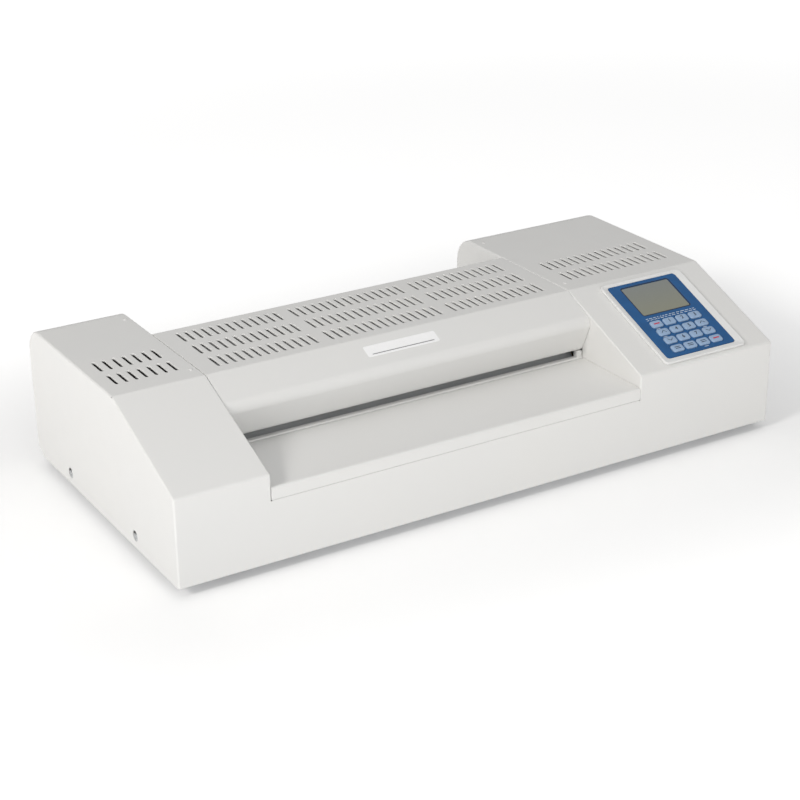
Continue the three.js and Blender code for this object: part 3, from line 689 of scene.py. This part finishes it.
def foot(node):
    """A moulded foot: a domed sole, a draught angle, and the screw at the bottom of its recess."""
    low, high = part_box(node)
    centre = ((low.x + high.x) / 2, (low.y + high.y) / 2, low.z)
    profile = [(0.01, 4.0), (4.5, 4.0), (4.5, 0.5), (5.0, 0), (8.7, 0), (9.3, 0.3), (9.6, 0.9), (10.9, 6.9),
               (10.7, 7.4), (10.3, 7.7), (0.01, 7.7)]
    rubber = turned(node + "_rubber", [(r * MM, along * MM) for r, along in profile], "Z", centre, 48)
    stands_for(rubber, node)
    screw = [(0.01, 4.05), (2.0, 4.0), (3.2, 3.6), (3.9, 3.0), (0.01, 2.9)]
    head = turned(node + "_screw", [(r * MM, along * MM) for r, along in reversed(screw)], "Z", centre, 32)
    finish_piece(head, MATERIALS["zinc"], "case", "zinc")


def painted_rivet(name, x, y):
    """A small rivet under the paint."""
    profile = [(1.75, -0.1), (1.7, 0.15), (1.5, 0.4), (1.1, 0.56), (0.6, 0.63), (0.01, 0.65)]
    rivet = turned(name, [(r * MM, along * MM) for r, along in profile], "Z", (x, from_front(y), TOP), 32)
    finish_piece(rivet, MATERIALS["enamel"], "case", "enamel")


# ------------------------------------------------------------------------------------------------
# Control panel. Its own u, s and n are millimetres right, up the slope and out of it.
# ------------------------------------------------------------------------------------------------

PANEL = Matrix.Translation((WALL_R, FRONT, BOTTOM + FRONT_HEIGHT)) @ Matrix.Rotation(SLOPE, 4, "X")


def rounded_ring(centre, size, corner, n, inset=0.0, steps=6):
    u, s = centre
    a, b = size[0] / 2 - inset, size[1] / 2 - inset
    corner = max(corner - inset, 0.05)
    ring = []
    for quarter, (du, ds) in enumerate(((1, 1), (-1, 1), (-1, -1), (1, -1))):
        for i in range(steps + 1):
            angle = math.radians(90 * quarter + 90 * i / steps)
            ring.append(Vector((u + du * (a - corner) + corner * math.cos(angle),
                                s + ds * (b - corner) + corner * math.sin(angle), n)) * MM)
    return ring


def rounded_plate(name, centre, size, corner, low, high, edge=0.0):
    """A plate with rounded corners, in panel millimetres, with its top edge rounded by edge."""
    rings = [rounded_ring(centre, size, corner, low)]
    if edge:
        rings.append(rounded_ring(centre, size, corner, high - edge))
        rings.append(rounded_ring(centre, size, corner, high - 0.3 * edge, 0.3 * edge))
        rings.append(rounded_ring(centre, size, corner, high, edge))
    else:
        rings.append(rounded_ring(centre, size, corner, high))
    bm = bmesh.new()
    loft(bm, rings)
    return object_from(bm, name)


def on_panel(obj):
    obj.data.transform(PANEL)
    return obj


OVERLAY_AT, OVERLAY_SIZE = (70.6, 56), (72.5, 93)
BEZEL_AT, BEZEL_SIZE = (71.5, 55.2), (86, 102.5)
DISPLAY_AT, DISPLAY_SIZE = (70.8, 79.8), (50, 35.5)
KEY_SIZE = (12, 8)
KEYS = {(row, column): (50 + (column - 1) * 13.75, 17.8 + (4 - row) * 10.45)
        for row in range(1, 5) for column in range(1, 5)}


def panel_bezel():
    """A moulded frame: a rounded outer rim, and a dished face that falls to the overlay's edge."""
    profile = [(0, 0.3), (0, 1.9), (0.15, 2.2), (0.45, 2.38), (0.9, 2.4), (1.4, 2.32)]
    rings = [rounded_ring(BEZEL_AT, BEZEL_SIZE, 4, n, inset) for inset, n in profile]
    inner = (OVERLAY_SIZE[0] + 0.6, OVERLAY_SIZE[1] + 0.6)
    rings.append(rounded_ring(OVERLAY_AT, inner, 3, 1.5, -0.15))
    rings.append(rounded_ring(OVERLAY_AT, inner, 3, 1.4))
    rings.append(rounded_ring(OVERLAY_AT, inner, 3, 0.3))
    bm = bmesh.new()
    made = loft(bm, rings, False, False)
    ring_faces(bm, [made[-1], made[0]])
    return stands_for(on_panel(object_from(bm, "bezel")), "panel_bezel")


def keypad_overlay():
    film = rounded_plate("overlay", OVERLAY_AT, OVERLAY_SIZE, 3, 0.3, 1.8, 0.3)
    grown = (DISPLAY_SIZE[0] + 0.6, DISPLAY_SIZE[1] + 0.6)
    combine(film, rounded_plate("display_hole", DISPLAY_AT, grown, 1.5, -1, 5))
    for place in KEYS.values():
        combine(film, rounded_plate("key_hole", place, (KEY_SIZE[0] + 0.6, KEY_SIZE[1] + 0.6), 2.6, -1, 5))
    return stands_for(on_panel(film), "keypad_overlay")


def display_window():
    pane = rounded_plate("display_pane", DISPLAY_AT, DISPLAY_SIZE, 1.3, 0.5, 1.6, 0.2)
    return stands_for(on_panel(pane), "display_window")


def key_cap(row, column):
    """A rounded key with a domed top."""
    node = f"key_r{row}_c{column}"
    place = KEYS[row, column]
    rings = [rounded_ring(place, KEY_SIZE, 2.4, n, inset)
             for inset, n in ((0, -0.6), (0, 2.15), (0.12, 2.45), (0.4, 2.7), (0.9, 2.86), (1.7, 2.95), (3.0, 3.0))]
    bm = bmesh.new()
    loft(bm, rings)
    cap = object_from(bm, f"cap_r{row}_c{column}")
    flange = rounded_plate("flange", place, (13.2, 9.4), 1, -0.8, 0)
    combine(cap, flange, "UNION")
    stands_for(on_panel(cap), node, smooth_angle=45)


def printed(name, shapes, material, body="case", slot="blue_film"):
    """Ink on the panel. Each shape is a list of (u, s) corners, raised from n0 to n1."""
    bm = bmesh.new()
    for corners, n0, n1 in shapes:
        loft(bm, [[Vector((u, s, n)) * MM for u, s in corners] for n in (n0, n1)])
    return finish_piece(on_panel(object_from(bm, name)), material, body, slot, weighted=False)


def digit(name, text, place, size, n0, n1, material, body):
    """A numeral as a thin raised print."""
    curve = bpy.data.curves.new(name, "FONT")
    curve.body = text
    curve.size = size * MM
    curve.align_x = "CENTER"
    curve.align_y = "CENTER"
    curve.extrude = (n1 - n0) / 2 * MM
    curve.offset = 0.02 * size * MM
    holder = bpy.data.objects.new(name + "_text", curve)
    bpy.context.scene.collection.objects.link(holder)
    mesh = bpy.data.meshes.new_from_object(holder.evaluated_get(bpy.context.evaluated_depsgraph_get()))
    bpy.data.objects.remove(holder)
    obj = bpy.data.objects.new(name, mesh)
    bpy.context.scene.collection.objects.link(obj)
    obj.data.transform(Matrix.Translation(Vector((*place, (n0 + n1) / 2)) * MM))
    finish_piece(on_panel(obj), material, body, "key_plastic", weighted=False)


def bar(u, s, width, height):
    return [(u - width / 2, s - height / 2), (u + width / 2, s - height / 2),
            (u + width / 2, s + height / 2), (u - width / 2, s + height / 2)]


def chevron(u, s, half, pointing):
    """Two slanted strokes that meet in a point."""
    thick = 0.75
    tip, end = s + pointing * half * 0.45, s - pointing * half * 0.45
    strokes = []
    for side in (-1, 1):
        corners = [(u, tip + thick / 2), (u + side * half, end + thick / 2),
                   (u + side * half, end - thick / 2), (u, tip - thick / 2)]
        strokes.append(corners if side < 0 else list(reversed(corners)))
    return strokes


def key_legends():
    """Generic marks: numerals, arrows and dashes. Nothing on the panel spells a word."""
    top = (2.9, 3.04)
    numerals = {(1, 2): "1", (1, 3): "2", (1, 4): "3", (2, 2): "4", (2, 3): "5", (3, 2): "6", (3, 3): "7"}
    for (row, column), (u, s) in KEYS.items():
        name = f"mark_r{row}_c{column}"
        body = f"key_r{row}_c{column}"
        if (row, column) in numerals:
            digit(name, numerals[row, column], (u, s), 5.0, *top, PRINT_DARK, body)
        elif column in (1, 4) and row in (2, 3):
            strokes = chevron(u, s, 2.6, 1 if row == 2 else -1)
            printed(name, [(stroke, *top) for stroke in strokes], PRINT_DARK, body, "key_plastic")
        elif (row, column) in ((1, 1), (4, 4)):
            shapes = [(bar(u, s, 6, 1.4), *top)]
            printed(name, shapes, PRINT_RED, body, "key_plastic")
        else:
            shapes = [(bar(u, s + 0.9, 5.4, 0.7), *top), (bar(u, s - 0.9, 5.4, 0.7), *top)]
            printed(name, shapes, PRINT_DARK, body, "key_plastic")


def panel_captions():
    """Pale dashes where the keys' captions are, kept short and unreadable on purpose."""
    rng = random.Random(7)
    shapes = []
    for s in (57.2, 55.3):
        u = 44.5
        while u < 96:
            width = rng.uniform(1.6, 4.2)
            shapes.append((bar(u + width / 2, s, width, 0.65), 1.75, 1.83))
            u += width + rng.uniform(0.8, 1.8)
    for u, s in ((48.5, 43.9), (48.5, 33.5), (91.2, 33.5), (77.5, 12.4)):
        shapes.append((bar(u, s, 4.2, 0.6), 1.75, 1.83))
    printed("captions", shapes, PRINT_PALE)


def display_outline():
    """The dark printed line round the display."""
    (u, s), (width, height) = DISPLAY_AT, DISPLAY_SIZE
    bm = bmesh.new()
    rings = [rounded_ring((u, s), (width, height), 1.5, n, inset)
             for inset, n in ((-1.15, 1.76), (-1.15, 1.82), (-0.35, 1.82), (-0.35, 1.76))]
    made = loft(bm, rings, False, False)
    ring_faces(bm, [made[-1], made[0]])
    return finish_piece(on_panel(object_from(bm, "display_outline")), PRINT_DARK, "case", "blue_film")


# ------------------------------------------------------------------------------------------------
# Rollers, bearings and springs
# ------------------------------------------------------------------------------------------------

def centre_of(node):
    low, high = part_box(node)
    return (low + high) / 2


def roller(node, sleeve):
    """A steel shaft with a ground rubber sleeve, its ends slightly rounded."""
    low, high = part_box(node)
    centre = centre_of(node)
    half = (sleeve[1] - sleeve[0]) / 2
    middle = Vector(((sleeve[0] + sleeve[1]) / 2, centre.y, centre.z))
    bevel = half - 0.4 * MM
    rubber = [(6.0, -half), (SLEEVE_EDGE, -half), (SLEEVE_RADIUS, -bevel), (SLEEVE_RADIUS, bevel),
              (SLEEVE_EDGE, half), (6.0, half)]
    piece = turned(node + "_sleeve", [(r * MM, along) for r, along in rubber], "X", middle, 96)
    stands_for(piece, node)
    for side, start, end in (("left", low.x, sleeve[0]), ("right", sleeve[1], high.x)):
        length = end - start
        outer, inner = (start, end) if side == "left" else (end, start)
        sign = 1 if side == "left" else -1
        profile = [(5.3 * MM, 0), (6.0 * MM, 0.7 * MM * sign), (6.0 * MM, (length + 2 * MM) * sign)]
        shaft = turned(f"{node}_{side}_journal", profile, "X", (outer, centre.y, centre.z), 48)
        finish_piece(shaft, MATERIALS["zinc"], BODY_OF[node], "zinc")


def spring(node):
    """A helical pressure spring. Its upper end bears on the frame; in the machine it shortens as the roller lifts, but
    the coil here is built at one length.
    """
    low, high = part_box(node)
    centre = centre_of(node)
    wire = 0.6 * MM
    radius = (high.x - low.x) / 2 - wire
    turns, around, steps = 5, 10, 20
    rise = high.z - low.z - 2 * wire
    count = turns * steps
    rings = []
    for i in range(count + 1):
        t = i / count
        angle = 2 * math.pi * turns * t
        lift = low.z + wire + rise * (t - math.sin(2 * math.pi * t) / (2 * math.pi) * 0.35)
        out = Vector((math.cos(angle), math.sin(angle), 0))
        here = Vector((centre.x, centre.y, lift)) + out * radius
        rings.append([
            here + out * (wire * math.cos(2 * math.pi * k / around))
            + Vector((0, 0, 1)) * (wire * math.sin(2 * math.pi * k / around)) for k in range(around)
        ])
    bm = bmesh.new()
    loft(bm, rings)
    coil = object_from(bm, node + "_coil")
    stands_for(coil, node, weighted=False)
    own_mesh(coil)


def dress(node, width=0.0, material=None):
    """Keeps a CAD node and gives it its material and softened edges."""
    obj = frame["nodes"][node]
    obj.data.materials.clear()
    obj.data.materials.append(material or MATERIALS[SLOT_OF[node]])
    if width:
        soften(obj, width, 2, 40)
    normals = obj.modifiers.new("normals", "WEIGHTED_NORMAL")
    normals.keep_sharp = True


# ------------------------------------------------------------------------------------------------
# Mains inlet and its switch
# ------------------------------------------------------------------------------------------------

def inlet_details():
    """Three brass pins in the socket."""
    low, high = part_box("mains_inlet")
    x, face = (low.x + high.x) / 2, high.y
    socket_z = (low.z + high.z) / 2 - 8.5 * MM
    for number, (du, dz) in enumerate(((-7, -2.5), (7, -2.5), (0, 3.5))):
        centre = Vector((x + du * MM, face - 10.3 * MM, socket_z + dz * MM))
        half = Vector((1.08, 7.4, 2.08)) * MM
        pin = box_object(f"pin_{number + 1}", centre - half, centre + half)
        soften(pin, 0.5 * MM, 3)
        finish_piece(pin, MATERIALS["bronze"], "case", "bronze")


def switch_marks():
    """A generic ring and bar on the rocker's two faces, the ring on the end that is pressed in."""
    low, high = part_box("mains_inlet")
    pivot = Vector(((low.x + high.x) / 2, high.y - 4.8 * MM, centre_of("rocker_switch").z))
    ring = [[Vector((r * math.cos(math.radians(15 * i)), r * math.sin(math.radians(15 * i)), n)) * MM
             for i in range(24)] for r, n in ((1.9, -0.05), (1.9, 0.1), (1.35, 0.1), (1.35, -0.05))]
    stroke = [[Vector((u, v, n)) * MM for u, v in bar(0, 0, 0.6, 3.8)] for n in (-0.05, 0.1)]
    for name, rings, across, out, degrees in (("ring", ring, -5.24, 2.955, 0), ("bar", stroke, 3.92, 4.57, 20)):
        bm = bmesh.new()
        made = loft(bm, rings, name == "bar", name == "bar")
        if name == "ring":
            ring_faces(bm, [made[-1], made[0]])
        mark = object_from(bm, f"switch_{name}")
        turn = math.radians(degrees)
        axes = Matrix(((math.cos(turn), math.sin(turn), 0), (0, 0, -1), (-math.sin(turn), math.cos(turn), 0)))
        place = Matrix.Translation(pivot + Vector((across, out, 0)) * MM)
        mark.data.transform(place @ axes.transposed().to_4x4())
        finish_piece(mark, PRINT_WHITE, "power_switch", "black_plastic", weighted=False)


def build():
    outer_case()
    top_cover()
    cover_label()
    feed_table()
    entry_guide()
    exit_guide()
    rear_panel()
    base_pan()
    for node in sorted(frame["nodes"]):
        if node.startswith("foot_"):
            foot(node)
    for number, (x, y) in enumerate(((73.2, 246.4), (73.2, 119.9), (429, 247.2), (429, 120.0))):
        painted_rivet(f"rivet_{number + 1}", CASE_LOW.x + x * MM, y)
    for side, x, outward in (("left", CASE_LOW.x, -1), ("right", CASE_HIGH.x, 1)):
        for place, y in zip(("front", "rear"), SCREWS_Y):
            side_screw(f"screw_{side}_{place}", x, y, outward)

    panel_bezel()
    keypad_overlay()
    display_window()
    display_outline()
    for row, column in KEYS:
        key_cap(row, column)
    key_legends()
    panel_captions()

    sleeve = ((WALL_L + WALL_R) / 2 - SLEEVE_HALF, (WALL_L + WALL_R) / 2 + SLEEVE_HALF)
    for pair in ("front", "rear"):
        for level in ("lower", "upper"):
            roller(f"{pair}_{level}_roller", sleeve)
        for side in ("left", "right"):
            spring(f"{pair}_{side}_spring")
            dress(f"{pair}_{side}_bush", 0.25 * MM)
            dress(f"{pair}_{side}_bearing_block", 0.5 * MM)
        for level in ("lower", "upper"):
            dress(f"{pair}_{level}_gear", 0.2 * MM)
    for node, width in (("left_frame", 0.35), ("right_frame", 0.35), ("upper_heater", 0.3), ("lower_heater", 0.3),
                        ("idler_gear", 0.2), ("motor_pinion", 0.2), ("gear_motor", 0.6), ("control_board", 0.15),
                        ("mains_inlet", 0.6), ("rocker_switch", 0.5)):
        dress(node, width * MM)
    inlet_details()
    switch_marks()


build()


# ------------------------------------------------------------------------------------------------
# Floor, light and camera
# ------------------------------------------------------------------------------------------------

def floor_paint(rises):
    """A plain pale floor with painted light: it glows more away from the object, so it shows white far off
    while the glow near the object stays low. Each rise adds some glow between two distances from the object's
    footprint."""
    shader = Shader("pale_floor")
    half = ((CASE_HIGH - CASE_LOW) / 2).to_2d().to_3d()
    value = shader.place
    for operation, other in (("ABSOLUTE", Vector()), ("SUBTRACT", half), ("MAXIMUM", Vector())):
        step = shader.node("ShaderNodeVectorMath", operation=operation)
        step.inputs[1].default_value = other
        shader.link(value, step.inputs[0])
        value = step.outputs["Vector"]
    length = shader.node("ShaderNodeVectorMath", operation="LENGTH")
    shader.link(value, length.inputs[0])
    away = length.outputs["Value"]
    total = None
    for start, end, amount in rises:
        rise = shader.node("ShaderNodeMapRange", interpolation_type="SMOOTHSTEP")
        for key, number in (("From Min", start), ("From Max", end), ("To Min", 0), ("To Max", amount)):
            rise.inputs[key].default_value = number
        shader.link(away, rise.inputs["Value"])
        if total is not None:
            add = shader.node("ShaderNodeMath", operation="ADD")
            shader.link(total, add.inputs[0])
            shader.link(rise.outputs["Result"], add.inputs[1])
            total = add.outputs["Value"]
        else:
            total = rise.outputs["Result"]
    # Painted light: the summed glow drives the floor's emission.
    shader.link(total, shader.principled.inputs["Emission Strength"])
    shader.principled.inputs["Emission Color"].default_value = (1, 1, 1, 1)
    shader.principled.inputs["Base Color"].default_value = (0.94, 0.94, 0.94, 1)
    shader.principled.inputs["Roughness"].default_value = 0.8
    return shader.material


def floor(rises):
    bm = bmesh.new()
    bmesh.ops.create_grid(bm, x_segments=8, y_segments=8, size=8)
    obj = object_from(bm, "floor")
    obj.location.z = -0.0004
    obj.data.materials.append(floor_paint(rises))


def area_light(name, toward, distance, size, power, color):
    """An area light in the direction toward, shining at the middle of the object."""
    target = Vector((0, 0, 0.06))
    direction = Vector(toward).normalized()
    data = bpy.data.lights.new(name, "AREA")
    data.shape = "DISK"
    data.size = size
    data.energy = power
    data.color = color
    obj = bpy.data.objects.new(name, data)
    obj.location = target + direction * distance
    obj.rotation_euler = direction.to_track_quat("Z", "Y").to_euler()
    bpy.context.scene.collection.objects.link(obj)


def world_light(level, overhead):
    """Soft light from all round, at one strength near the horizon and another overhead."""
    world = bpy.data.worlds.new("studio")
    world.use_nodes = True
    tree = world.node_tree
    place = tree.nodes.new("ShaderNodeTexCoord").outputs["Generated"]
    split = tree.nodes.new("ShaderNodeSeparateXYZ")
    climb = tree.nodes.new("ShaderNodeMapRange")
    for key, number in (("From Min", 0.3), ("From Max", 1.0), ("To Min", level), ("To Max", overhead)):
        climb.inputs[key].default_value = number
    tree.links.new(place, split.inputs["Vector"])
    tree.links.new(split.outputs["Z"], climb.inputs["Value"])
    background = tree.nodes["Background"]
    background.inputs["Color"].default_value = (1, 1, 1, 1)
    tree.links.new(climb.outputs["Result"], background.inputs["Strength"])
    bpy.context.scene.world = world


def camera():
    azimuth, elevation, roll = (math.radians(turn) for turn in CAMERA_TURN)
    back = Vector((math.sin(azimuth) * math.cos(elevation), -math.cos(azimuth) * math.cos(elevation),
                   math.sin(elevation)))
    right = (-back).cross(Vector((0, 0, 1))).normalized()
    up = right.cross(-back).normalized()
    turned_right = right * math.cos(roll) + up * math.sin(roll)
    turned_up = up * math.cos(roll) - right * math.sin(roll)
    data = bpy.data.cameras.new("camera")
    data.lens = CAMERA_LENS
    data.sensor_width = 36
    data.clip_start = 0.05
    obj = bpy.data.objects.new("camera", data)
    axes = Matrix((turned_right, turned_up, back)).transposed().to_4x4()
    obj.matrix_world = Matrix.Translation(CAMERA_PLACE) @ axes
    bpy.context.scene.collection.objects.link(obj)
    bpy.context.scene.camera = obj


floor(((-1.0, -0.9, 0.13), (0.02, 0.35, 0.27), (0.8, 2.0, 0.2)))
area_light("key", (-0.83, -0.207, 0.518), 3.0, 0.70, 32.5, (1.0, 0.98, 0.955))
area_light("front_fill", (-0.22, -0.93, 0.30), 1.7, 1.2, 6.8, (0.99, 0.99, 0.985))
world_light(0.19, 0.80)
camera()
bpy.context.scene.view_settings.view_transform = "Standard"
